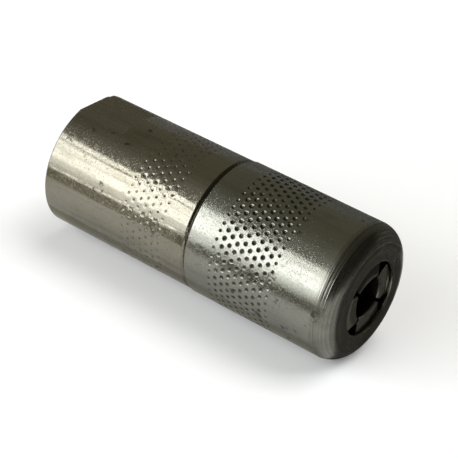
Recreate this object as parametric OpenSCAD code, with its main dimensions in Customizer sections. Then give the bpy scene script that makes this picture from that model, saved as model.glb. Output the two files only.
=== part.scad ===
// Grease coupler: a screwed-together body and sleeve that hold four jaws in a taper.
// Pushing a grease nipple into the nose drives the jaws and the piston back against the spring.
// The jaws slide out along the taper, let the head of the nipple pass and close behind it.
// The axis is X, from the centre of the inlet face to the nose, and Z is square to the wrench flats.

/* [Outside] */
// Diameter of the front sleeve
sleeve_d = 15.5; // [14.5:0.1:18]
// Step by which the rear body stands back from the sleeve
body_step = 0.1; // [0:0.05:0.3]
// Length of the rear body, from the inlet face to the seam
body_len = 19.6; // [18.6:0.1:24]
// Length of the sleeve, from the seam to the tip of the nose
sleeve_len = 18.7; // [18.2:0.1:22]
// Width of the flat ring on the face of the nose
nose_face = 1; // [0.2:0.1:1.5]
// Chamfer of the outer edges at the seam and at the inlet face
edge_chamfer = 0.3; // [0.1:0.05:0.5]
// Depth of each wrench flat below the round of the body
flat_depth = 0.65; // [0.3:0.05:1.2]
// Length of the wrench flats from the inlet face
flat_len = 6.8; // [4:0.1:9]

/* [Inlet] */
// Minor diameter of the inlet thread, M10 x 1
inlet_d = 8.918; // [8:0.001:10]
// Depth of the inlet bore to the end of its full diameter
inlet_depth = 9; // [7:0.1:9.4]
// Chamfer at the mouth of the inlet thread
inlet_chamfer = 0.6; // [0.2:0.05:1]
// Diameter of the grease passage behind the thread
passage_d = 3; // [2.4:0.1:3.2]
// Length of the straight part of the grease passage
passage_len = 0.8; // [0.4:0.1:1.2]
// Mouth diameter of the conical ball seat
seat_d = 5.2; // [4.4:0.1:5.6]

/* [Mouth and taper] */
// Wall of the sleeve behind the taper
sleeve_wall = 1.15; // [0.9:0.05:1.4]
// Diameter of the opening in the nose
mouth_d = 8.4; // [8:0.1:9]
// Rounding of the rim of the opening
mouth_round = 0.2; // [0.1:0.05:0.5]
// Length of the lip between the tip of the nose and the taper
lip_len = 0.55; // [0.5:0.05:1]
// Half angle of the taper that closes the jaws
taper_angle = 20; // [16:0.5:21]

/* [Jaws] */
// Way that the jaws and the piston go back to let a nipple in
travel = 4.2; // [3.5:0.1:4.3]
// Distance of the jaws' front behind the tip of the nose
jaw_sink = 0.3; // [0.1:0.05:0.8]
// Length of a jaw
jaw_len = 6.1; // [5.8:0.1:6.6]
// Bore of the jaws behind the grip lip, closed
jaw_bore_d = 6; // [5.6:0.1:6.2]
// Opening between the middles of opposite grip lips, closed
lip_gap = 4.2; // [3.8:0.02:4.6]
// Bevel on the front edge of the grip lip
lip_bevel = 0.15; // [0.1:0.05:0.6]
// Diameter of the flat land round the grip lips
land_d = 5.4; // [5:0.1:6.4]
// Slope of the jaws' front outside the land
front_angle = 4; // [2:1:20]
// Length of the jaws from the front to the end of their bore
jaw_head_len = 2.4; // [2:0.1:2.6]
// Slot between neighbouring jaws, closed
jaw_slot = 0.4; // [0.2:0.02:0.6]
// Distance from the axis where the corner bevels of a jaw start
corner_start = 2.9; // [2.6:0.05:3.4]
// Angle of the corner bevels to the slot
corner_angle = 38; // [20:1:42]
// Turn of the first jaw round the axis from the upper wrench flat
jaw_turn = 14; // [0:1:89]
// Wire diameter of the ring that spreads the jaws
ring_wire_d = 0.6; // [0.5:0.05:0.7]
// Depth of the ring's wire in the jaws beyond its middle
ring_sink = 0.1; // [0:0.02:0.2]
// Distance of the ring from the rear face of the jaws
ring_place = 1.2; // [0.8:0.1:2]
// Open part of the ring
ring_gap_angle = 40; // [20:1:60]

/* [Piston and seals] */
// Wall of the threaded spigot round the piston
spigot_wall = 1.95; // [1.4:0.05:2.1]
// Length of the relief behind the spigot's thread
relief_len = 1; // [0.6:0.1:1.4]
// Depth of the relief behind the spigot's thread
relief_depth = 0.5; // [0.3:0.05:0.7]
// Length of the piston
piston_len = 9.3; // [9:0.1:9.6]
// Thickness of the thrust washer behind the jaws
washer_t = 0.7; // [0.5:0.05:0.8]
// Bore of the thrust washer
washer_bore_d = 5.2; // [5:0.05:5.4]
// Diameter of the grease passage through the piston
piston_bore_d = 2.5; // [2:0.1:2.8]
// Diameter of the ball spring's recess in the piston
recess_d = 4; // [3.6:0.1:4.4]
// Depth of the ball spring's recess in the piston
recess_depth = 2.5; // [2:0.1:2.8]
// Section diameter of the piston's O-ring
o_ring_d = 1; // [0.9:0.02:1.1]
// Distance of the O-ring from the rear face of the piston
o_ring_place = 2.2; // [1.8:0.1:2.8]
// Diameter of the seal's foot under the thrust washer
seal_foot_d = 6.5; // [6.2:0.1:6.8]
// Thickness of the seal's foot
seal_foot_t = 2.1; // [1.6:0.1:2.4]
// Length of the seal in front of the piston
seal_nose_len = 2.4; // [2:0.1:2.7]
// Hole through the seal
seal_hole_d = 2; // [1.6:0.1:2.3]
// Mouth diameter of the cup in the seal's front
seal_cup_d = 4; // [3.4:0.1:4.4]
// Depth of the cup in the seal's front
seal_cup_depth = 0.9; // [0.6:0.05:1.2]

/* [Ball and springs] */
// Diameter of the check ball
ball_d = 4.76; // [4.6:0.02:5]
// Wire diameter of the main spring
main_wire_d = 0.8; // [0.6:0.02:0.85]
// Radial gap of the main spring in the cylinder
main_spring_gap = 0.45; // [0.2:0.05:0.6]
// Turns of the main spring
main_turns = 4.5; // [3.5:0.25:4.5]
// Wire diameter of the ball spring
light_wire_d = 0.3; // [0.24:0.02:0.42]
// Mean diameter of the ball spring
light_mean_d = 2.5; // [2.2:0.05:2.8]
// Turns of the ball spring
light_turns = 6; // [4:0.5:6]

/* [Clearances] */
// Radial gap of the piston in its cylinder
piston_gap = 0.05; // [0.02:0.01:0.1]
// Radial gap of the sleeve on the threaded spigot
thread_gap = 0.05; // [0.02:0.01:0.1]
// Gap of the jaws in the taper, square to the axis
taper_gap = 0.06; // [0.04:0.01:0.12]
// Radial gap left round the jaws' tails when fully open
open_gap = 0.08; // [0.05:0.01:0.15]
// Radial gap of the thrust washer in the sleeve
washer_gap = 0.2; // [0.1:0.05:0.4]
// Gap of the O-ring to each side of its groove
groove_gap = 0.15; // [0.1:0.05:0.25]
// Gap of the ball, the seals and the ring to their seats
seat_gap = 0.04; // [0.02:0.01:0.08]
// Axial gap left at the end of the piston's way
stop_gap = 0.1; // [0.05:0.05:0.2]

/* [Hidden] */
$fn = 64;
taper_rise = tan(taper_angle);
sleeve_r = sleeve_d / 2;
body_r = sleeve_r - body_step;
mouth_r = mouth_d / 2;
nose_round = sleeve_r - mouth_r - mouth_round - nose_face;
flat_z = body_r - flat_depth;
inlet_r = inlet_d / 2;
passage_r = passage_d / 2;
seat_r = seat_d / 2;
ball_r = ball_d / 2;
bore_r = sleeve_r - sleeve_wall;
spigot_r = bore_r - thread_gap;
relief_r = spigot_r - relief_depth;
cylinder_r = spigot_r - spigot_wall;
piston_r = cylinder_r - piston_gap;
jaw_r = bore_r - travel * taper_rise - open_gap;
jaw_bore_r = jaw_bore_d / 2;
lip_z = lip_gap / 2;
lip_r = lip_z + travel * taper_rise;
land_r = land_d / 2;
nose_x = body_len + sleeve_len;
taper_end = nose_x - lip_len;
jaw_front = nose_x - jaw_sink;
jaw_rear = jaw_front - jaw_len;
jaw_front_r = mouth_r + (taper_end - jaw_front) * taper_rise - taper_gap;
jaw_knee = jaw_front - (jaw_r - jaw_front_r) / taper_rise;
front_depth = (jaw_front_r - land_r) / (1 / tan(front_angle) - taper_rise);
jaw_bore_end = jaw_front - jaw_head_len;
grip_angle = 60;
ring_x = jaw_rear + ring_place;
ring_r = jaw_bore_r + ring_sink;
groove_half = ring_wire_d / 2 + seat_gap;
taper_start = taper_end - (bore_r - mouth_r) / taper_rise;
piston_front = jaw_rear - washer_t;
piston_rear = piston_front - piston_len;
spigot_end = piston_front - travel - stop_gap;
washer_r = min(bore_r, mouth_r + (taper_end - jaw_rear) * taper_rise) - washer_gap;
drill_rise = tan(31);
drill_end = inlet_depth + (inlet_r - passage_r) * drill_rise;
seat_start = drill_end + passage_len;
web_x = seat_start + seat_r - passage_r;
ball_x = seat_start - passage_r + ball_d * sin(45) + seat_gap;
spring_seat_x = ball_x + sqrt(ball_r * ball_r - light_mean_d * light_mean_d / 4) + light_wire_d * 0.3;
main_mean_r = cylinder_r - main_spring_gap - main_wire_d / 2;
recess_x = piston_rear + recess_depth;
o_ring_x = piston_rear + o_ring_place;
o_ring_r = cylinder_r - seat_gap - o_ring_d / 2;
o_groove_r = o_ring_r - o_ring_d / 2 - seat_gap;
o_groove_half = o_ring_d / 2 + groove_gap;
pocket_r = seal_foot_d / 2 + seat_gap;
seal_rear = piston_front - seal_foot_t;
seal_front = piston_front + seal_nose_len;
seal_nose_r = washer_bore_d / 2 - 2 * seat_gap;

// Turns an outline of radius and place on the axis about X
module turned() {
    rotate([0, 90, 0])
        rotate_extrude()
            children();
}

// What a convex corner of radius r loses, placed at the centre of the arc
module corner_waste(r) {
    difference() {
        square(r + 1);
        circle(r);
    }
}

module rear_body() {
    color("Silver")
        difference() {
            turned()
                polygon([
                    [inlet_r + inlet_chamfer, 0],
                    [body_r - edge_chamfer, 0],
                    [body_r, edge_chamfer],
                    [body_r, body_len - edge_chamfer],
                    [body_r - edge_chamfer, body_len],
                    [relief_r, body_len],
                    [relief_r, body_len + relief_len],
                    [spigot_r, body_len + relief_len + spigot_r - relief_r],
                    [spigot_r, spigot_end - edge_chamfer],
                    [spigot_r - edge_chamfer, spigot_end],
                    [cylinder_r + edge_chamfer, spigot_end],
                    [cylinder_r, spigot_end - edge_chamfer],
                    [cylinder_r, web_x],
                    [seat_r, web_x],
                    [passage_r, seat_start],
                    [passage_r, drill_end],
                    [inlet_r, inlet_depth],
                    [inlet_r, inlet_chamfer]
                ]);
            for (side = [0, 180])
                rotate([side, 0, 0])
                    translate([-1, -sleeve_d, flat_z])
                        cube([flat_len + 1, 2 * sleeve_d, sleeve_d]);
        }
}

module front_sleeve() {
    color("Silver")
        turned()
            difference() {
                polygon([
                    [bore_r, body_len],
                    [sleeve_r - edge_chamfer, body_len],
                    [sleeve_r, body_len + edge_chamfer],
                    [sleeve_r, nose_x],
                    [mouth_r, nose_x],
                    [mouth_r, taper_end],
                    [bore_r, taper_start]
                ]);
                translate([sleeve_r - nose_round, nose_x - nose_round])
                    corner_waste(nose_round);
                translate([mouth_r + mouth_round, nose_x - mouth_round])
                    mirror([1, 0])
                        corner_waste(mouth_round);
            }
}

// Turned blank of all four jaws: tapered outside and in front, bored from behind, grooved for the ring
module jaw_blank() {
    turned()
        difference() {
            polygon([
                [jaw_bore_r, jaw_rear],
                [jaw_r - edge_chamfer, jaw_rear],
                [jaw_r, jaw_rear + edge_chamfer],
                [jaw_r, jaw_knee],
                [land_r + front_depth / tan(front_angle), jaw_front - front_depth],
                [land_r, jaw_front],
                [0, jaw_front],
                [0, jaw_bore_end + jaw_bore_r / tan(grip_angle)],
                [jaw_bore_r, jaw_bore_end]
            ]);
            translate([jaw_bore_r - 1, ring_x - groove_half])
                square([1 + ring_sink + groove_half, 2 * groove_half]);
        }
}

// Quarter of the blank between two slots, with its corners bevelled
module jaw_sector() {
    half = jaw_slot / 2;
    side = [(corner_start - half) / sqrt(2), (corner_start + half) / sqrt(2)];
    corner = side + 2 * sleeve_d * [cos(45 + corner_angle), sin(45 + corner_angle)];
    rotate([90, 0, 90])
        linear_extrude(height = nose_x)
            polygon([
                [0, jaw_slot / sqrt(2)],
                side,
                corner,
                [-corner[0], corner[1]],
                [-side[0], side[1]]
            ]);
}

// Mouth of the grip lip with its lead-in bevel: the four lips make a round hole when they are fully open
module lip_waste() {
    translate([0, 0, lip_z - lip_r])
        turned()
            polygon([
                [0, jaw_bore_end],
                [lip_r, jaw_bore_end],
                [lip_r, jaw_front - lip_bevel],
                [lip_r + lip_bevel + 1, jaw_front + 1],
                [0, jaw_front + 1]
            ]);
}

module jaw(number) {
    color("DimGray")
        rotate([jaw_turn + 90 * (number - 1), 0, 0])
            difference() {
                intersection() {
                    jaw_blank();
                    jaw_sector();
                }
                lip_waste();
            }
}

module spreader_ring() {
    color("Gray")
        translate([ring_x, 0, 0])
            rotate([jaw_turn + 45 + ring_gap_angle / 2, 0, 0])
                rotate([0, 90, 0])
                    rotate_extrude(angle = 360 - ring_gap_angle)
                        translate([ring_r, 0])
                            circle(d = ring_wire_d);
}

module thrust_washer() {
    color("Gray")
        turned()
            translate([washer_bore_d / 2, piston_front])
                square([washer_r - washer_bore_d / 2, washer_t]);
}

module nipple_seal() {
    color("DarkSlateGray")
        turned()
            polygon([
                [seal_hole_d / 2, seal_rear],
                [seal_foot_d / 2, seal_rear],
                [seal_foot_d / 2, piston_front],
                [seal_nose_r, piston_front],
                [seal_nose_r, seal_front],
                [seal_cup_d / 2, seal_front],
                [seal_hole_d / 2, seal_front - seal_cup_depth]
            ]);
}

module piston() {
    color("Silver")
        turned()
            difference() {
                polygon([
                    [recess_d / 2, piston_rear],
                    [piston_r - edge_chamfer, piston_rear],
                    [piston_r, piston_rear + edge_chamfer],
                    [piston_r, piston_front],
                    [pocket_r, piston_front],
                    [pocket_r, seal_rear],
                    [piston_bore_d / 2, seal_rear],
                    [piston_bore_d / 2, recess_x],
                    [recess_d / 2, recess_x]
                ]);
                translate([o_groove_r, o_ring_x - o_groove_half])
                    square([piston_r, 2 * o_groove_half]);
            }
}

module piston_o_ring() {
    color("DarkSlateGray")
        turned()
            translate([o_ring_r, o_ring_x])
                circle(d = o_ring_d);
}

// Compression spring on the axis from start to end, with one close turn at each end
module spring(start, end, mean_r, wire, turns) {
    steps = 20;
    corners = 8;
    rings = ceil(turns * steps);
    close = wire * 1.12;
    wide = (end - start - wire - 2 * close) / (turns - 2);
    function lift(t) =
        close * min(t, 1) + wide * max(0, min(t, turns - 1) - 1) + close * max(0, t - turns + 1);
    function place(t, a) = let (r = mean_r + wire / 2 * cos(a))
        [start + wire / 2 + lift(t) + wire / 2 * sin(a), r * cos(360 * t), r * sin(360 * t)];
    points = [
        for (i = [0 : rings])
            for (k = [0 : corners - 1])
                place(turns * i / rings, 360 * (k + 0.5) / corners)
    ];
    sides = [
        for (i = [0 : rings - 1])
            for (k = [0 : corners - 1])
                let (a = i * corners + k, b = i * corners + (k + 1) % corners)
                    each [[a, b, b + corners], [a, b + corners, a + corners]]
    ];
    caps = [
        [for (k = [corners - 1 : -1 : 0]) k],
        [for (k = [0 : corners - 1]) rings * corners + k]
    ];
    polyhedron(points, concat(sides, caps));
}

module main_spring() {
    color("DarkGray")
        spring(web_x, piston_rear, main_mean_r, main_wire_d, main_turns);
}

module check_ball() {
    color("LightGray")
        translate([ball_x, 0, 0])
            sphere(d = ball_d);
}

module ball_spring() {
    color("DarkGray")
        spring(spring_seat_x, recess_x, light_mean_d / 2, light_wire_d, light_turns);
}

rear_body();
front_sleeve();
jaw(1);  // jaw_1
jaw(2);  // jaw_2
jaw(3);  // jaw_3
jaw(4);  // jaw_4
spreader_ring();
thrust_washer();
nipple_seal();
piston();
piston_o_ring();
main_spring();
check_ball();
ball_spring();
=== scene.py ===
"""Grease coupler on a pale table: the CAD frame with turned skins, a thread, springs and worn steel."""

import random
from math import asin, ceil, cos, degrees, pi, radians, sin, tan, tau

import bmesh
import bpy
from mathutils import Matrix, Vector


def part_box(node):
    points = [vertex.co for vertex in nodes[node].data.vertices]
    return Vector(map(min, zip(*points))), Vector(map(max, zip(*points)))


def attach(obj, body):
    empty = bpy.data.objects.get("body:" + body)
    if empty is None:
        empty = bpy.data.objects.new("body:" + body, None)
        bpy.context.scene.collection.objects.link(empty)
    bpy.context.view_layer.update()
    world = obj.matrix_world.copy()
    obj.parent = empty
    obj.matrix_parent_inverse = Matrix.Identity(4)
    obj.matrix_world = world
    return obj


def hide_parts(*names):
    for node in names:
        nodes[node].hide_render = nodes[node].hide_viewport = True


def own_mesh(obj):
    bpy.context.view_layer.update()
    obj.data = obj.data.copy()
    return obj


MM = 0.001  # sizes below are in millimetres, as in the part's source

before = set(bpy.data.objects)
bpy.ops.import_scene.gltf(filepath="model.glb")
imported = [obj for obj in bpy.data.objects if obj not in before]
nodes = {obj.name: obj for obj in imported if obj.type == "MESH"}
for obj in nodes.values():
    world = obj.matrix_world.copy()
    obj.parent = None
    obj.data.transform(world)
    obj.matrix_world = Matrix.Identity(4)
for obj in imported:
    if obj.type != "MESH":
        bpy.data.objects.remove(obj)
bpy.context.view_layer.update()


def box_mm(node):
    """Lowest and highest corner of a CAD node, in millimetres."""
    return tuple(Vector(corner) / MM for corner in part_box(node))


# Outer sizes, from the frame
body_high = box_mm("rear_body")[1]
sleeve_low, sleeve_high = box_mm("front_sleeve")
piston_high = box_mm("piston")[1]
main_low, main_high = box_mm("main_spring")
light_low, light_high = box_mm("ball_spring")
SPIGOT_END, BODY_R = body_high.x, body_high.y
SEAM_X, NOSE_X, SLEEVE_R = sleeve_low.x, sleeve_high.x, sleeve_high.y

# Edges of the skins
EDGE = 0.3  # chamfer of the outer edges
SOFT = 0.06  # rounding of every turned edge
SOFT_SHARE, SOFT_STEP = 0.4, 12  # most of a line that a rounding takes, and degrees in one step of it
SHARP = 18  # angle in degrees from which a skin's edge is shaded sharp
MERGE, DEGENERATE = 2e-7, 1e-8  # distances in metres below which points are one, and faces are dropped

# Rear body
FLAT_DEPTH, FLAT_LEN = 0.65, 6.8
FLAT_Z = BODY_R - FLAT_DEPTH
INLET_R, THREAD_R, PITCH = 4.459, 5.0, 1.0
INLET_DEPTH, INLET_CHAMFER, RUN_OUT = 9.0, 0.6, 1.2
THREAD_STATIONS = [(0.0, 0.0), (0.25, 0.0), (0.5625, 1.0), (0.6875, 1.0)]  # shares of pitch and of height
THREAD_END = 0.2  # plain length at the bottom of the inlet
THREAD_LEAD, THREAD_SPARE = 2, 3  # pitches that the rows start before the mouth, and that they have to spare
PASSAGE_R, PASSAGE_LEN = 1.5, 0.8
SEAT_R, DRILL_ANGLE = 2.6, 31
DRILL_END = INLET_DEPTH + (INLET_R - PASSAGE_R) * tan(radians(DRILL_ANGLE))
SEAT_X = DRILL_END + PASSAGE_LEN
WEB_X = SEAT_X + SEAT_R - PASSAGE_R
PISTON_GAP, SPIGOT_WALL, RELIEF_DEPTH, RELIEF_LEN = 0.05, 1.95, 0.5, 1.0
CYLINDER_R = piston_high.y + PISTON_GAP
SPIGOT_R = CYLINDER_R + SPIGOT_WALL
RELIEF_R = SPIGOT_R - RELIEF_DEPTH

# Grime and painted shade in the skins, as shares
EDGE_GRIME, EDGE_GRIME_LEN = 0.3, 0.25  # on the edge of the inlet, and how far it goes on the face
CREST_GRIME, ROOT_DARKER = 0.35, 0.5  # in the thread, the second a darker colour added in its roots
PIT_DIRT_AND_SHADE, PIT_BOTTOM_DIRT_AND_SHADE = 0.98, 0.9  # most on the walls of a pit, and at its bottom; part of it is painted shade in the hollow
PIT_DIRT_AND_SHADE_PER_MM = 7  # on the walls of a shallow pit, for each millimetre of its depth
PIT_DIRT_AND_SHADE_FROM, PIT_DIRT_AND_SHADE_OVER = 0.02, 0.3  # share of the depth where it starts, and over which it grows

# Front sleeve
SLEEVE_WALL = 1.15
BORE_R = SLEEVE_R - SLEEVE_WALL
MOUTH_R, MOUTH_ROUND, MOUTH_LEN, NOSE_FACE = 4.2, 0.2, 0.55, 1.0
NOSE_ROUND = SLEEVE_R - MOUTH_R - MOUTH_ROUND - NOSE_FACE
NOSE_RINGS = {87: 0.012, 80: 0.022, 73: 0.012, 65: 0.018, 52: 0.01, 4: 0.02}  # angles and depths
NOSE_RING_HALF, NOSE_STEP = 1.4, 6  # half of a turned ring's width, and a step of the round, in degrees
TAPER_ANGLE = 20
TAPER_END = NOSE_X - MOUTH_LEN
TAPER_START = TAPER_END - (BORE_R - MOUTH_R) / tan(radians(TAPER_ANGLE))

# Grip zones: rows of punched pits, each row turned by half a pit against the one before
SLEEVE_PITS = {
    "start": SEAM_X + 3.16,
    "pitch": 0.815,
    "rows": 10,
    "round": 52,
    "across": 0.53,
    "depth": 0.155,
    "end_share": 0.75,
}
BODY_PITS = {
    "start": SEAM_X - 8.79,
    "pitch": 0.833,
    "rows": 7,
    "round": 50,
    "across": 0.36,
    "depth": 0.065,
    "end_share": 0.9,
}
PIT_RINGS = (  # shares of a pit's radius and depth
    (1.12, -0.05),
    (1.0, 0.04),
    (0.88, 0.16),
    (0.65, 0.38),
    (0.15, 0.87),
)
PIT_SIDE = 4  # edges on each side of the cell round a pit
PIT_FIRST = 225  # angle of a pit's first point, at the first corner of its cell
PIT_SLIP, PIT_TURN = 0.03, 0.3  # how far a pit is off its place, in millimetres along and degrees round
PIT_DEPTHS, PIT_SIZES = (0.75, 1.1), (0.93, 1.03)  # shares that a pit's depth and size vary between

# Jaws
JAW_FRONT, LAND_R, FRONT_ANGLE = box_mm("jaw_1")[1].x, 2.7, 4
JAW_BEVEL, JAW_BEVEL_ANGLE = 0.05, 30  # rounding of the edges, and the least angle in degrees that has one
JAW_WELD = 1e-6  # distance in metres below which points are one

# Springs
MAIN_WIRE, MAIN_TURNS = 0.8, 4.5
LIGHT_WIRE, LIGHT_TURNS = 0.3, 6.0
LIGHT_SPLIT = 2  # turn where the ball's spring is split: the ball presses one part, the piston the other
CLOSE_PITCH = 1.12  # pitch of the end turns, in wires
WIRE_STEPS, WIRE_CORNERS = 40, 14  # points along a turn and round the wire
PISTON_TRAVEL, BALL_TRAVEL = 4.2, 1.2

# View and light
CAMERA_PLACE = Vector((104.9, -133.7, 97.2))
CAMERA_AIM = Vector((19.9, 0.1, -0.2))
CAMERA_ROLL = 8.3
CAMERA_LENS, CAMERA_SENSOR = 135.5, 36.0

ROOM = (0.228, 0.216, 0.16)
ROOM_DARK, ROOM_TURN = (0.05, 0.046, 0.035), (-0.25, 0.25)  # the room on the side of the nose
GLOW, GLOW_TOWARD = 0.3, (-0.439, -0.627, 0.643)  # the lit wall above the window
GLOW_EDGE, GLOW_FALL = 0.67, 2.5  # cosine of the angle where it ends, and the power that it falls off with
WINDOW_AZIMUTH, WINDOW_AIM = -120, (12, -7, 2)
WINDOW_LIGHT, WINDOW_COLOUR = 4.35, (0.975, 1.01, 1.05)
WINDOW_PANES = (  # lowest and highest elevation, and share of the light
    (-1.2, 8, 0.6),
    (8, 21.7, 1.12),
    (22.5, 32.6, 1.12),
    (34.8, 41, 1.06),
)
WINDOW_DISTANCE, WINDOW_WIDTH = 0.3, 0.42  # in metres
# A bright strip below the window, as window_pane takes it
SILL = {"low": -6.4, "high": -4.2, "distance": 0.07, "width": 0.036, "radiance": 0.85, "azimuth": -126}
FILL_PLACE, FILL_SIZE, FILL_LIGHT = (0.3, 0.38, 0.85), 0.9, 3.3  # place and size in metres
TABLE_SIZE, TABLE_GLOW = 6, 0.1  # metres, and light of its own that is only seen
CARDS = (  # cards that only the steel reflects: place, width, height, tilt and tone
    ((30, -24, -4.4), 40, 6.4, 90, 0.45),
    ((-10, -24, -4.4), 40, 6.4, 90, 0.75),
    # Painted shadow: the object's shadow on the table behind it, and the dark room above, seen only in
    # reflections
    ((4, 26, 6.1), 78, 27.6, 90, 0.11),
    # Painted shadow: the next two stand for the object's shadow behind the nose, seen only in reflections
    ((94, 13, -6), 110, 3.4, 90, 0.16),
    ((94, 13, 4), 110, 16.6, 90, 0.16),
    # Painted shade: the shaded table under the body, seen only in reflections
    ((7.2, -2, -7.65), 58.5, 10, 0, 0.65),
    # Painted shadow: the object's shadow on the table by the nose, seen only in reflections
    ((68, 4.7, -7.6), 63, 16.5, 0, 0.1),
)


# Meshes


def soften(outline):
    """Rounds the inner corners of an outline of (x, radius) points."""
    points = [Vector(p) for p in outline]
    rounded = [points[0]]
    for before, corner, after in zip(points, points[1:], points[2:]):
        back, on = before - corner, after - corner
        cut = min(SOFT, SOFT_SHARE * back.length, SOFT_SHARE * on.length)
        start, end = corner + back.normalized() * cut, corner + on.normalized() * cut
        steps = max(1, ceil(degrees(pi - back.angle(on)) / SOFT_STEP))
        for step in range(steps + 1):
            share = step / steps
            rounded.append(start.lerp(corner, share).lerp(corner.lerp(end, share), share))
    return rounded + [points[-1]]


def arc(x, radius, size, start, end, steps):
    """Points of a round corner about (x, radius), from one angle to another, in degrees from +X."""
    angles = [radians(start + (end - start) * k / steps) for k in range(steps + 1)]
    return [(x + size * cos(a), radius + size * sin(a)) for a in angles]


def ringed_arc(x, radius, size, rings):
    """A quarter round from the cylinder to the face, with fine turned grooves at some of its angles."""
    half = NOSE_RING_HALF
    angles = range(0, 91, NOSE_STEP)
    depths = {angle: 0.0 for angle in angles if all(abs(angle - ring) > 2 * half for ring in rings)}
    for ring, depth in rings.items():
        depths.update({ring + half: 0.0, ring: depth, ring - half: 0.0})
    points = []
    for angle, depth in sorted(depths.items(), reverse=True):
        length = size - depth
        points.append((x + length * cos(radians(angle)), radius + length * sin(radians(angle))))
    return points


class Skin:
    """A turned skin about the X axis, made of rings of points and the faces between them."""

    def __init__(self, count):
        self.count = count
        self.points = []
        self.grime_and_shade = []
        self.faces = []

    def point(self, x, radius, turn, grime_and_shade=0.0):
        """Adds a point at a turn in degrees, measured from +Y to +Z, and returns its number."""
        self.points.append(Vector((x, radius * cos(radians(turn)), radius * sin(radians(turn)))) * MM)
        self.grime_and_shade.append(grime_and_shade)
        return len(self.points) - 1

    def turn(self, index):
        """Turn in degrees of a point with this number in its ring."""
        return 360 * index / self.count

    def ring(self, x, radius, flat=None, grime_and_shade=0.0):
        """A ring of points, cut off at +-flat in Z, with points on the edges of the flats."""
        turns = [self.turn(i) for i in range(self.count)]
        if flat is None or radius <= flat:
            return [self.point(x, radius, t, grime_and_shade) for t in turns]
        edge = degrees(asin(flat / radius))
        for t in (edge, 180 - edge, 180 + edge, 360 - edge):
            turns[round(t * self.count / 360)] = t
        return [self.point(x, min(radius, flat / max(abs(sin(radians(t))), 0.1)), t, grime_and_shade) for t in turns]

    def bridge(self, first, second):
        """Faces between two closed rows of points."""
        for i in range(len(first)):
            j = (i + 1) % len(first)
            self.faces.append((first[i], first[j], second[j], second[i]))

    def sweep(self, last, outline, flat=None, grime_and_shade=0.0):
        """Goes on from the last ring along an outline of (x, radius) points."""
        for x, radius in outline:
            new = self.ring(x, radius, flat, grime_and_shade)
            self.bridge(last, new)
            last = new
        return last

    def pits(self, last, radius, zone, dice):
        """Rows of conical pits, whose cells share their corners with the cells of the next row."""
        start, pitch, rows = zone["start"], zone["pitch"], zone["rows"]
        for row in range(rows):
            x = start + pitch * row
            new = self.ring(x + pitch, radius)
            shift = PIT_SIDE // 2 * (row % 2)
            firsts = range(shift, self.count + shift, PIT_SIDE)
            size = zone["end_share"] if row in (0, rows - 1) else 1.0
            steps = [x + pitch * k / PIT_SIDE for k in range(1, PIT_SIDE)]
            seams = [[self.point(step, radius, self.turn(f)) for step in steps] for f in firsts]
            for number, f in enumerate(firsts):
                low, high = seams[number], seams[(number + 1) % len(seams)]
                near = [last[(f + k) % self.count] for k in range(PIT_SIDE + 1)]
                far = [new[(f + k) % self.count] for k in range(PIT_SIDE + 1)]
                cell = near + high + far[::-1] + low[::-1]
                slip = dice.uniform(-PIT_SLIP, PIT_SLIP)
                turn = self.turn(f + PIT_SIDE / 2) + dice.uniform(-PIT_TURN, PIT_TURN)
                depth = zone["depth"] * size * dice.uniform(*PIT_DEPTHS)
                pit_r = zone["across"] / 2 * size * dice.uniform(*PIT_SIZES)
                self.pit(cell, x + pitch / 2 + slip, radius, turn, pit_r, depth)
            last = new
        return last

    def pit(self, cell, x, radius, turn, pit_r, depth):
        """A conical pit in the middle of a cell, whose points go round it."""
        outer = cell
        for share, sunk in PIT_RINGS:
            size = pit_r * share
            # Darker colour that grows with the pit's depth: partly dirty steel, partly painted shade in the
            # hollow
            darkened = min(max((sunk - PIT_DIRT_AND_SHADE_FROM) / PIT_DIRT_AND_SHADE_OVER, 0.0), 1.0)
            grime_and_shade = min(PIT_DIRT_AND_SHADE, PIT_DIRT_AND_SHADE_PER_MM * depth) * darkened
            inner = []
            for k in range(len(cell)):
                angle = radians(PIT_FIRST) - tau * k / len(cell)
                around = degrees(size * sin(angle) / radius)
                inner.append(self.point(x + size * cos(angle), radius - depth * sunk, turn + around, grime_and_shade))
            self.bridge(outer, inner)
            outer = inner
        bottom = self.point(x, radius - depth, turn, PIT_BOTTOM_DIRT_AND_SHADE)
        for k in range(len(outer)):
            self.faces.append((outer[k], outer[(k + 1) % len(outer)], bottom))

    def thread(self, depth, minor, major, mouth):
        """Internal 60 degree thread from x 0 to depth, with a chamfer at the mouth and a run-out."""
        per_pitch = len(THREAD_STATIONS)
        total = per_pitch * (ceil(depth / PITCH) + THREAD_SPARE)
        columns = []
        for i in range(self.count):
            column = []
            for m in range(total):
                share, height = THREAD_STATIONS[m % per_pitch]
                place = m // per_pitch + share + i / self.count - THREAD_LEAD
                x = min(max(PITCH * place, 0.0), depth)
                fade = min(max((depth - x - THREAD_END) / RUN_OUT, 0.0), 1.0)
                cut = minor + (major - minor) * height * fade
                # Darker colour in the thread, more in its roots; the edge's share on the chamfer of the
                # mouth
                grime_and_shade = CREST_GRIME + ROOT_DARKER * height * fade if cut > mouth - x else EDGE_GRIME
                column.append(self.point(x, max(cut, mouth - x), self.turn(i), grime_and_shade))
            columns.append(column)
        for i in range(self.count):
            step = per_pitch if i + 1 == self.count else 0
            column, beside = columns[i], columns[(i + 1) % self.count]
            for m in range(total - step - 1):
                self.faces.append((column[m], beside[m + step], beside[m + step + 1], column[m + 1]))

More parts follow.
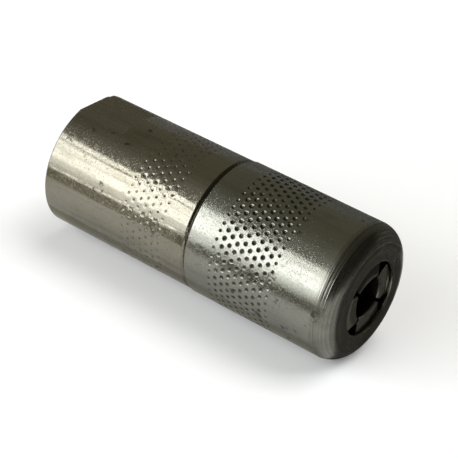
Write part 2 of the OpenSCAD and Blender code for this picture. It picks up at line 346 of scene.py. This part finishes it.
    def piece(self, name):
        """The finished mesh object, with shared points merged and its sharp edges kept."""
        mesh = bpy.data.meshes.new(name)
        mesh.from_pydata(self.points, [], self.faces)
        mesh.attributes.new("grime_and_shade", "FLOAT", "POINT").data.foreach_set("value", self.grime_and_shade)
        work = bmesh.new()
        work.from_mesh(mesh)
        bmesh.ops.remove_doubles(work, verts=work.verts, dist=MERGE)
        bmesh.ops.dissolve_degenerate(work, edges=work.edges, dist=DEGENERATE)
        bmesh.ops.recalc_face_normals(work, faces=work.faces)
        for face in work.faces:
            face.smooth = True
        for edge in work.edges:
            edge.smooth = edge.is_manifold and edge.calc_face_angle(0) < radians(SHARP)
        work.to_mesh(mesh)
        work.free()
        made = bpy.data.objects.new(name, mesh)
        bpy.context.scene.collection.objects.link(made)
        return made


def rear_body_skin():
    """The rear body, from the edge of its inlet over the outside and the cylinder back to the thread."""
    skin = Skin(PIT_SIDE * BODY_PITS["round"])
    mouth = INLET_R + INLET_CHAMFER
    first = skin.ring(0, mouth, grime_and_shade=EDGE_GRIME)
    face = (0, mouth + EDGE_GRIME_LEN)
    last = skin.sweep(first, [face])
    rear = [face, (0, BODY_R - EDGE), (EDGE, BODY_R), (FLAT_LEN, BODY_R)]
    last = skin.sweep(last, soften(rear)[1:], FLAT_Z)
    last = skin.sweep(last, [(FLAT_LEN, BODY_R), (BODY_PITS["start"], BODY_R)])
    last = skin.pits(last, BODY_R, BODY_PITS, random.Random(5))
    inside = [
        (BODY_PITS["start"] + BODY_PITS["pitch"] * BODY_PITS["rows"], BODY_R),
        (SEAM_X - EDGE, BODY_R),
        (SEAM_X, BODY_R - EDGE),
        (SEAM_X, RELIEF_R),
        (SEAM_X + RELIEF_LEN, RELIEF_R),
        (SEAM_X + RELIEF_LEN + SPIGOT_R - RELIEF_R, SPIGOT_R),
        (SPIGOT_END - EDGE, SPIGOT_R),
        (SPIGOT_END, SPIGOT_R - EDGE),
        (SPIGOT_END, CYLINDER_R + EDGE),
        (SPIGOT_END - EDGE, CYLINDER_R),
        (WEB_X, CYLINDER_R),
        (WEB_X, SEAT_R),
        (SEAT_X, PASSAGE_R),
        (DRILL_END, PASSAGE_R),
        (INLET_DEPTH, INLET_R),
    ]
    skin.sweep(last, soften(inside)[1:])
    skin.thread(INLET_DEPTH, INLET_R, THREAD_R, mouth)
    return skin.piece("rear_body_skin")


def front_sleeve_skin():
    """The front sleeve, from its rear face over the nose to the taper and back through the bore."""
    skin = Skin(PIT_SIDE * SLEEVE_PITS["round"])
    first = skin.ring(SEAM_X, BORE_R)
    rear = [
        (SEAM_X, BORE_R),
        (SEAM_X, SLEEVE_R - EDGE),
        (SEAM_X + EDGE, SLEEVE_R),
        (SLEEVE_PITS["start"], SLEEVE_R),
    ]
    last = skin.sweep(first, soften(rear)[1:])
    last = skin.pits(last, SLEEVE_R, SLEEVE_PITS, random.Random(3))
    nose = ringed_arc(NOSE_X - NOSE_ROUND, SLEEVE_R - NOSE_ROUND, NOSE_ROUND, NOSE_RINGS)
    rim = arc(NOSE_X - MOUTH_ROUND, MOUTH_R + MOUTH_ROUND, MOUTH_ROUND, 0, -90, 8)
    last = skin.sweep(last, nose + rim)
    inside = [(NOSE_X - MOUTH_ROUND, MOUTH_R), (TAPER_END, MOUTH_R), (TAPER_START, BORE_R), (SEAM_X, BORE_R)]
    last = skin.sweep(last, soften(inside)[1:-1])
    skin.bridge(last, first)
    return skin.piece("front_sleeve_skin")


def wire_x(t, start, end, wire, turns):
    """Place of a spring's wire along X after t turns. Its first and last turns are close."""
    close = wire * CLOSE_PITCH
    wide = (end - start - wire - 2 * close) / (turns - 2)
    opened = wide * max(0, min(t, turns - 1) - 1)
    return start + wire / 2 + close * min(t, 1) + opened + close * max(0, t - turns + 1)


def spring(name, start, end, outer_r, wire, turns, first, last):
    """Compression spring along X, from its turn first to its turn last."""
    corners = WIRE_CORNERS
    mean_r = outer_r - wire / 2
    points, faces = [], []
    rings = ceil((last - first) * WIRE_STEPS)
    for i in range(rings + 1):
        t = first + (last - first) * i / rings
        for k in range(corners):
            a = tau * k / corners
            r = mean_r + wire / 2 * cos(a)
            x = wire_x(t, start, end, wire, turns) + wire / 2 * sin(a)
            points.append(Vector((x, r * cos(tau * t), r * sin(tau * t))) * MM)
    for i in range(rings):
        for k in range(corners):
            a, b = i * corners + k, i * corners + (k + 1) % corners
            faces.append((a, b, b + corners, a + corners))
    faces.append(tuple(range(corners - 1, -1, -1)))
    faces.append(tuple(range(rings * corners, (rings + 1) * corners)))
    mesh = bpy.data.meshes.new(name)
    mesh.from_pydata(points, [], faces)
    mesh.polygons.foreach_set("use_smooth", [len(f) == 4 for f in faces])
    made = bpy.data.objects.new(name, mesh)
    bpy.context.scene.collection.objects.link(made)
    return made


# Materials

GRAINS = {  # waves per metre, along all axes or each, and detail
    "lines": ((25, 2600, 2600), 4.0),
    "speckle": (4200, 4.0),
    "cloud": (210, 6.0),
    "smear": ((90, 420, 420), 5.0),
    "spots": (620, 6.0),
    "turned": ((6000, 0, 0), 2.0),
    "grease_and_shade_rings": ((6000, 0, 0), 3.0),
    "rubber": (3000, 3.0),
    "table": (40, 3.0),
    "card": (300, 3.0),
}
GRAIN_ROUGHNESS = 0.6
DENTS_SCALE, DENT_FLOOR, DENT_EDGE, DENT_POWER = 7500, 0.1, 0.42, 2.0

# Tone of the steel. A range is where a grain starts to show, and where it is full
LAYERS = {  # range, and what is left of the steel's colour
    "cloud": (0.38, 0.68, 0.72),
    "lines": (0.5, 0.75, 0.45),
    "speckle": (0.5, 0.8, 0.6),
}
CLOUD_SHARE, SPECKLE_SHARE = 0.4, 0.35  # most of each layer
LINES_SHARE = 100  # most of the lines, for each millimetre of their depth
SMEAR_RANGE, STAIN = (0.52, 0.72), (0.1, 0.085, 0.05)
SPOT_RANGE, SPOT_SHARE = (0.632, 0.677), 0.85
# Colour of the darker parts: Grime, stains, greasy film and painted shade
GRIME_AND_SHADE = (0.045, 0.041, 0.032)

# Roughness of the steel
CLOUD_ROUGH_RANGE, SMOOTHER, ROUGHER = (0.35, 0.65), 0.02, 0.04  # how far the clouds change it
MATTE_RANGE = (0.56, 0.61)  # of the speckle
DIRT_ROUGHNESS, TURNED_ROUGHNESS = 0.25, 0.1  # what the darker parts, painted shade among them, and the turned nose add to it

# Turned nose: where it starts and is full behind the tip, how worn it is, and the depth of its fine lines
TURNED_START, TURNED_FULL, TURNED_WORN, TURNED_DEPTH = 4.0, 2.0, 0.1, 0.003

# Old greasy film and painted shade, as shares, and where they lie in millimetres
# Painted shade at the inlet end: its share, and how far it reaches
REAR_SHADE, REAR_SHADE_LEN = 0.12, 9.0
NOSE_GREASE_AND_SHADE = ((2.6, 2.0, 0.4), (1.0, 0.0, 0.3))  # where it starts and is full behind the tip, and its share
MOUTH_GREASE_AND_SHADE, MOUTH_FADE_LEN = 0.2, 0.25
# Painted shade on the jaws: its share behind the front, and where it starts and is full
JAW_SHADE, JAW_SHADE_START, JAW_SHADE_FULL = 0.95, 0.08, 0.25  # the last two behind the front
GREASE_AND_SHADE_CLOUDS, GREASE_AND_SHADE_RINGS = (0.3, 0.6, 0.7, 1.0), (0.38, 0.62, 0.2, 1.3)  # range of grain, and shares there

RUBBER_TONES = (0.012, 0.012, 0.013), (0.03, 0.029, 0.028)
RUBBER_ROUGHNESS = (0.3, 0.7, 0.5, 0.7)  # range of its grain, and the roughness there
TABLE_TONES, TABLE_ROUGHNESS = ((0.9, 0.9, 0.9), (0.92, 0.92, 0.92)), 0.9
CARD_TINTS = (1, 0.94, 0.8), (1, 1, 0.9)


def add(tree, kind, settings=None, **inputs):
    """Adds a shader node with its settings and plain input values."""
    made = tree.nodes.new(kind)
    for key, value in (settings or {}).items():
        setattr(made, key, value)
    for key, value in inputs.items():
        made.inputs[key.replace("_", " ")].default_value = value
    return made


def grain(tree, kind):
    """Noise over the object's own place."""
    scale, detail = GRAINS[kind]
    place = add(tree, "ShaderNodeTexCoord")
    stretch = add(tree, "ShaderNodeMapping", Scale=scale if isinstance(scale, tuple) else (scale,) * 3)
    noise = add(tree, "ShaderNodeTexNoise", Scale=1.0, Detail=detail, Roughness=GRAIN_ROUGHNESS)
    tree.links.new(place.outputs["Object"], stretch.inputs["Vector"])
    tree.links.new(stretch.outputs["Vector"], noise.inputs["Vector"])
    return noise.outputs["Fac"]


def bowls(tree):
    """Small round dents, 0 on the plain surface and up to 1 in the middle of the deepest ones."""
    place = add(tree, "ShaderNodeTexCoord")
    cells = add(tree, "ShaderNodeTexVoronoi", Scale=DENTS_SCALE)
    tree.links.new(place.outputs["Object"], cells.inputs["Vector"])
    dice = add(tree, "ShaderNodeSeparateColor")
    tree.links.new(cells.outputs["Color"], dice.inputs["Color"])
    shape = spread(tree, cells.outputs["Distance"], DENT_FLOOR, DENT_EDGE, 1.0, 0.0)
    return math(tree, "MULTIPLY", shape, math(tree, "POWER", dice.outputs["Red"], DENT_POWER))


def spread(tree, value, low, high, to_low, to_high):
    """Maps a value from one range to another, clamped."""
    made = add(tree, "ShaderNodeMapRange", From_Min=low, From_Max=high, To_Min=to_low, To_Max=to_high)
    tree.links.new(value, made.inputs["Value"])
    return made.outputs["Result"]


def blend(tree, share, first, second, kind="MIX"):
    """Mixes two colours; each is a socket or a plain colour."""
    made = add(tree, "ShaderNodeMix", {"data_type": "RGBA", "blend_type": kind})
    tree.links.new(share, made.inputs["Factor"])
    for socket, colour in ((made.inputs[6], first), (made.inputs[7], second)):
        if isinstance(colour, bpy.types.NodeSocket):
            tree.links.new(colour, socket)
        else:
            socket.default_value = (*colour, 1)
    return made.outputs[2]


def blend_values(tree, share, first, second):
    """Mixes two values; each is a socket or a number."""
    made = add(tree, "ShaderNodeMix")
    tree.links.new(share, made.inputs["Factor"])
    for socket, value in ((made.inputs[2], first), (made.inputs[3], second)):
        if isinstance(value, bpy.types.NodeSocket):
            tree.links.new(value, socket)
        else:
            socket.default_value = value
    return made.outputs[0]


def math(tree, kind, first, second):
    """A sum, product or the like of two values; the second is a socket or a number."""
    made = add(tree, "ShaderNodeMath", {"operation": kind})
    tree.links.new(first, made.inputs[0])
    if isinstance(second, bpy.types.NodeSocket):
        tree.links.new(second, made.inputs[1])
    else:
        made.inputs[1].default_value = second
    return made.outputs[0]


def darker(colour, share):
    """A colour with only a share of its light."""
    return [c * share for c in colour]


def steel(name, colour, roughness, relief, stained=0.0, darkened=None, calm=None):
    """Worn steel. relief gives the depths of its lines, speckle and dents in millimetres, and how matte
    its grains are. darkened makes the share of old greasy film and of painted shade, and calm that of
    worn surface over turned."""
    made = bpy.data.materials.new(name)
    made.use_nodes = True
    tree = made.node_tree
    surface = tree.nodes["Principled BSDF"]
    surface.inputs["Metallic"].default_value = 1.0
    noise = {kind: grain(tree, kind) for kind in ("lines", "speckle", "cloud", "smear", "spots")}

    tone = colour
    shares = {"cloud": CLOUD_SHARE, "lines": LINES_SHARE * relief["lines"], "speckle": SPECKLE_SHARE}
    for kind, (low, high, left) in LAYERS.items():
        share = spread(tree, noise[kind], low, high, 0.0, shares[kind])
        tone = blend(tree, share, tone, darker(colour, left))
    tone = blend(tree, spread(tree, noise["smear"], *SMEAR_RANGE, 0.0, stained), tone, STAIN)
    spots = spread(tree, noise["spots"], *SPOT_RANGE, 0.0, SPOT_SHARE * min(1.0, 2 * stained))
    # The darker parts: the skins' pits and thread, stains in spots, and greasy film; painted shade is among
    # them
    dirt_and_shade = add(tree, "ShaderNodeAttribute", {"attribute_name": "grime_and_shade"}).outputs["Fac"]
    dirt_and_shade = math(tree, "MAXIMUM", dirt_and_shade, spots)
    if darkened:
        grease_and_shade = math(tree, "MULTIPLY", darkened(tree), spread(tree, noise["cloud"], *GREASE_AND_SHADE_CLOUDS))
        dirt_and_shade = math(tree, "MAXIMUM", dirt_and_shade, grease_and_shade)
    tone = blend(tree, dirt_and_shade, tone, GRIME_AND_SHADE)
    tree.links.new(tone, surface.inputs["Base Color"])

    rough = spread(tree, noise["cloud"], *CLOUD_ROUGH_RANGE, roughness - SMOOTHER, roughness + ROUGHER)
    rough = math(tree, "ADD", rough, spread(tree, dirt_and_shade, 0.0, 1.0, 0.0, DIRT_ROUGHNESS))
    matte = spread(tree, noise["speckle"], *MATTE_RANGE, 0.0, relief["matte"])
    if calm:
        matte = blend_values(tree, calm(tree), TURNED_ROUGHNESS, matte)
    tree.links.new(math(tree, "ADD", rough, matte), surface.inputs["Roughness"])

    height = math(tree, "MULTIPLY", noise["lines"], relief["lines"])
    height = math(tree, "ADD", height, math(tree, "MULTIPLY", noise["speckle"], relief["speckle"]))
    height = math(tree, "ADD", height, math(tree, "MULTIPLY", bowls(tree), -relief["dents"]))
    if calm:
        turned = math(tree, "MULTIPLY", grain(tree, "turned"), TURNED_DEPTH)
        height = blend_values(tree, calm(tree), turned, height)
    bump = add(tree, "ShaderNodeBump", Strength=1.0, Distance=MM)
    tree.links.new(height, bump.inputs["Height"])
    tree.links.new(bump.outputs["Normal"], surface.inputs["Normal"])
    return made


def along(tree, low, high, to_low, to_high):
    """A value that changes along the axis, between two places in millimetres."""
    split = add(tree, "ShaderNodeSeparateXYZ")
    tree.links.new(add(tree, "ShaderNodeTexCoord").outputs["Object"], split.inputs["Vector"])
    return spread(tree, split.outputs["X"], low * MM, high * MM, to_low, to_high)


def reach(tree):
    """Distance from the axis."""
    across = add(tree, "ShaderNodeVectorMath", {"operation": "MULTIPLY"})
    across.inputs[1].default_value = (0, 1, 1)
    tree.links.new(add(tree, "ShaderNodeTexCoord").outputs["Object"], across.inputs[0])
    length = add(tree, "ShaderNodeVectorMath", {"operation": "LENGTH"})
    tree.links.new(across.outputs["Vector"], length.inputs[0])
    return length.outputs["Value"]


def rear_shade(tree):
    """Painted shade at the inlet end, fading along the axis."""
    return along(tree, 0.0, REAR_SHADE_LEN, REAR_SHADE, 0.0)


def nose_grease_and_shade(tree):
    """Old greasy film on the nose, in rings, and less on the edge of the mouth; much of its darkness is
    painted shade, for the object's shadow that the nose reflects.
    """
    rings = spread(tree, grain(tree, "grease_and_shade_rings"), *GREASE_AND_SHADE_RINGS)
    darkenings = [along(tree, NOSE_X - start, NOSE_X - full, 0.0, share) for start, full, share in NOSE_GREASE_AND_SHADE]
    darkening = math(tree, "ADD", *darkenings)
    mouth = spread(tree, reach(tree), MOUTH_R * MM, (MOUTH_R + MOUTH_FADE_LEN) * MM, MOUTH_GREASE_AND_SHADE, 1.0)
    return math(tree, "MULTIPLY", math(tree, "MULTIPLY", rings, darkening), mouth)


def nose_calm(tree):
    """Share of worn surface on the sleeve: all of it, apart from the turned nose."""
    return along(tree, NOSE_X - TURNED_START, NOSE_X - TURNED_FULL, 1.0, TURNED_WORN)


def jaw_shade(low, high, to_low, to_high):
    """Painted shade on a jaw: much behind its front, and on it a share that changes between two radii."""

    def darkening(tree):
        outside = math(tree, "MAXIMUM", math(tree, "SUBTRACT", reach(tree), LAND_R * MM), 0.0)
        place = add(tree, "ShaderNodeSeparateXYZ")
        tree.links.new(add(tree, "ShaderNodeTexCoord").outputs["Object"], place.inputs["Vector"])
        slope = math(tree, "MULTIPLY", outside, tan(radians(FRONT_ANGLE)))
        level = math(tree, "ADD", place.outputs["X"], slope)
        full, start = (JAW_FRONT - JAW_SHADE_FULL) * MM, (JAW_FRONT - JAW_SHADE_START) * MM
        behind = spread(tree, level, full, start, JAW_SHADE, 0.0)
        front = spread(tree, reach(tree), low * MM, high * MM, to_low, to_high)
        return math(tree, "MAXIMUM", behind, front)

    return darkening


def rubber(name):
    """Black rubber with a fine grain."""
    made = bpy.data.materials.new(name)
    made.use_nodes = True
    tree = made.node_tree
    surface = tree.nodes["Principled BSDF"]
    fine = grain(tree, "rubber")
    tree.links.new(blend(tree, fine, *RUBBER_TONES), surface.inputs["Base Color"])
    tree.links.new(spread(tree, fine, *RUBBER_ROUGHNESS), surface.inputs["Roughness"])
    return made


def dress(piece, material):
    """Gives a piece its material."""
    piece.data.materials.clear()
    piece.data.materials.append(material)


plain = {"lines": 0.0004, "speckle": 0.0006, "dents": 0.001, "matte": 0.0}
body_relief = {"lines": 0.0035, "speckle": 0.003, "dents": 0.012, "matte": 0.25}
sleeve_relief = {"lines": 0.001, "speckle": 0.014, "dents": 0.018, "matte": 0.2}
body_steel = steel("body_steel", (0.236, 0.22, 0.175), 0.06, body_relief, 0.5, rear_shade)
sleeve_steel = steel("sleeve_steel", (0.23, 0.228, 0.197), 0.12, sleeve_relief, 0.5, nose_grease_and_shade, nose_calm)
# Lit and shaded copies of one jaw steel: the top jaw painted darker on its outer part, the left jaw (jaw_2)
# painted lighter, for how the light falls on them; jaw_shade adds painted shade behind each front and in a
# band of radii
shaded_top_jaw_steel = steel("shaded_top_jaw_steel", (0.28, 0.272, 0.235), 0.17, plain, 0.4, jaw_shade(2.6, 2.9, 0.1, 1.3))
lit_jaw_steel = steel("lit_jaw_steel", (0.5, 0.49, 0.43), 0.17, plain, 0.2, jaw_shade(3.1, 3.4, 0.75, 0.0))
jaw_steel = steel("jaw_steel", (0.32, 0.311, 0.27), 0.17, plain, 0.4, jaw_shade(2.2, 2.4, 0.6, 0.0))
piston_steel = steel("piston_steel", (0.36, 0.355, 0.34), 0.22, plain)
wire_steel = steel("wire_steel", (0.3, 0.3, 0.3), 0.25, plain)
ball_steel = steel("ball_steel", (0.5, 0.5, 0.5), 0.08, plain)
seal_rubber = rubber("seal_rubber")


# Pieces

for skin, node, material, slot in (
    (rear_body_skin(), "rear_body", body_steel, "body_steel"),
    (front_sleeve_skin(), "front_sleeve", sleeve_steel, "sleeve_steel"),
):
    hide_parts(node)
    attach(skin, "housing")
    dress(skin, material)

split_x = wire_x(LIGHT_SPLIT, light_low.x, light_high.x, LIGHT_WIRE, LIGHT_TURNS)
main_size = (main_low.x, main_high.x, main_high.y, MAIN_WIRE, MAIN_TURNS)
light_size = (light_low.x, light_high.x, light_high.y, LIGHT_WIRE, LIGHT_TURNS)
for name, node, body, size, turns, joint, travel, still, pressed in (
    ("main_coil", "main_spring", "housing", main_size, (0, MAIN_TURNS),
     "piston_slide", PISTON_TRAVEL, main_low.x, main_high.x),
    ("ball_coil_rear", "ball_spring", "housing", light_size, (0, LIGHT_SPLIT),
     "ball_lift", BALL_TRAVEL, split_x, light_low.x),
    ("ball_coil_front", "ball_spring", "piston_group", light_size, (LIGHT_SPLIT, LIGHT_TURNS),
     "piston_slide", PISTON_TRAVEL, light_high.x, split_x),
):
    coil = spring(name, *size, *turns)
    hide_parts(node)
    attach(coil, body)
    dress(coil, wire_steel)
    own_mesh(coil)

for node, material, slot in (
    ("jaw_1", shaded_top_jaw_steel, "jaw_steel"),
    ("jaw_2", lit_jaw_steel, "jaw_steel"),
    ("jaw_3", jaw_steel, "jaw_steel"),
    ("jaw_4", jaw_steel, "jaw_steel"),
    ("thrust_washer", piston_steel, "jaw_steel"),
    ("piston", piston_steel, "piston_steel"),
    ("spreader_ring", wire_steel, "spring_steel"),
    ("check_ball", ball_steel, "ball_steel"),
    ("nipple_seal", seal_rubber, "seal_rubber"),
    ("piston_o_ring", seal_rubber, "seal_rubber"),
):
    dress(nodes[node], material)
    if node.startswith("jaw"):
        weld = nodes[node].modifiers.new("weld", "WELD")
        weld.merge_threshold = JAW_WELD
        bevel = nodes[node].modifiers.new("soft_edges", "BEVEL")
        bevel.width = JAW_BEVEL * MM
        bevel.segments = 2
        bevel.limit_method = "ANGLE"
        bevel.angle_limit = radians(JAW_BEVEL_ANGLE)


# Stage


def floor_material():
    """A pale table that the camera and reflections see a little whiter than its light alone makes it."""
    made = bpy.data.materials.new("table")
    made.use_nodes = True
    tree = made.node_tree
    surface = tree.nodes["Principled BSDF"]
    tree.links.new(blend(tree, grain(tree, "table"), *TABLE_TONES), surface.inputs["Base Color"])
    surface.inputs["Roughness"].default_value = TABLE_ROUGHNESS
    surface.inputs["Specular IOR Level"].default_value = 0.0
    path = add(tree, "ShaderNodeLightPath").outputs
    seen = math(tree, "MAXIMUM", path["Is Camera Ray"], path["Is Glossy Ray"])
    seen = math(tree, "MAXIMUM", seen, path["Is Transmission Ray"])
    surface.inputs["Emission Color"].default_value = (1, 1, 1, 1)
    tree.links.new(math(tree, "MULTIPLY", seen, TABLE_GLOW), surface.inputs["Emission Strength"])
    return made


def card_material(name, tone):
    """Grey card, a little uneven and warm."""
    made = bpy.data.materials.new(name)
    made.use_nodes = True
    tree = made.node_tree
    colour = blend(tree, grain(tree, "card"), *(darker(tint, tone) for tint in CARD_TINTS))
    tree.links.new(colour, tree.nodes["Principled BSDF"].inputs["Base Color"])
    return made


def area_light(name, place, aim, width, height, radiance, colour=(1, 1, 1)):
    """A lamp that the camera doesn't see, aimed at a point, all in metres."""
    lamp = bpy.data.lights.new(name, "AREA")
    lamp.shape = "RECTANGLE"
    lamp.size, lamp.size_y = width, height
    lamp.energy = radiance * pi * width * height
    lamp.color = colour
    made = bpy.data.objects.new(name, lamp)
    made.location = place
    made.rotation_euler = (Vector(aim) - Vector(place)).to_track_quat("-Z", "Y").to_euler()
    made.visible_camera = False
    bpy.context.scene.collection.objects.link(made)
    return made


def window_pane(name, low, high, distance, width, radiance, azimuth=WINDOW_AZIMUTH):
    """A strip of the window, between two elevations in degrees."""
    middle, half = radians((low + high) / 2), radians((high - low) / 2)
    flat = distance * cos(middle)
    around = radians(azimuth)
    aim = Vector(WINDOW_AIM) * MM
    place = aim + Vector((flat * cos(around), flat * sin(around), distance * sin(middle)))
    height = 2 * distance * tan(half)
    return area_light(name, place, aim, width, height, radiance * WINDOW_LIGHT, WINDOW_COLOUR)


bpy.ops.mesh.primitive_plane_add(size=TABLE_SIZE, location=(0, 0, -SLEEVE_R * MM))
floor = bpy.context.object
floor.name = "table"
floor.data.materials.append(floor_material())

for number, (low, high, share) in enumerate(WINDOW_PANES):
    window_pane(f"window_{number}", low, high, WINDOW_DISTANCE, WINDOW_WIDTH, share)
sill = window_pane("window_sill", **SILL)
sill.visible_diffuse = False
fill = area_light("fill", FILL_PLACE, (0, 0, 0), FILL_SIZE, FILL_SIZE, FILL_LIGHT)
fill.visible_glossy = False

for number, (place, width, height, tilt, tone) in enumerate(CARDS):
    rotation = (radians(tilt), 0, 0)
    bpy.ops.mesh.primitive_plane_add(size=1, location=Vector(place) * MM, rotation=rotation)
    card = bpy.context.object
    card.name = f"card_{number}"
    card.scale = (width * MM, height * MM, 1)
    card.data.materials.append(card_material(card.name, tone))
    card.visible_camera = card.visible_diffuse = card.visible_shadow = False

world = bpy.data.worlds.new("room")
world.use_nodes = True
tree = world.node_tree
toward_all = add(tree, "ShaderNodeTexCoord").outputs["Generated"]
toward = add(tree, "ShaderNodeSeparateXYZ")
tree.links.new(toward_all, toward.inputs["Vector"])
side = spread(tree, toward.outputs["X"], *ROOM_TURN, 0.0, 1.0)
near = add(tree, "ShaderNodeVectorMath", {"operation": "DOT_PRODUCT"})
near.inputs[1].default_value = GLOW_TOWARD
tree.links.new(toward_all, near.inputs[0])
glow = math(tree, "POWER", spread(tree, near.outputs["Value"], GLOW_EDGE, 1.0, 0.0, 1.0), GLOW_FALL)
walls = blend(tree, side, ROOM, ROOM_DARK)
tone = blend(tree, math(tree, "MULTIPLY", glow, GLOW), walls, WINDOW_COLOUR, "ADD")
tree.links.new(tone, tree.nodes["Background"].inputs["Color"])
bpy.context.scene.world = world

camera = bpy.data.objects.new("camera", bpy.data.cameras.new("camera"))
camera.data.lens = CAMERA_LENS
camera.data.sensor_width = CAMERA_SENSOR
look = (CAMERA_AIM - CAMERA_PLACE).to_track_quat("-Z", "Y").to_matrix().to_4x4()
roll = Matrix.Rotation(radians(CAMERA_ROLL), 4, "Z")
camera.matrix_world = Matrix.Translation(CAMERA_PLACE * MM) @ look @ roll
bpy.context.scene.collection.objects.link(camera)
bpy.context.scene.camera = camera
bpy.context.scene.view_settings.view_transform = "Standard"
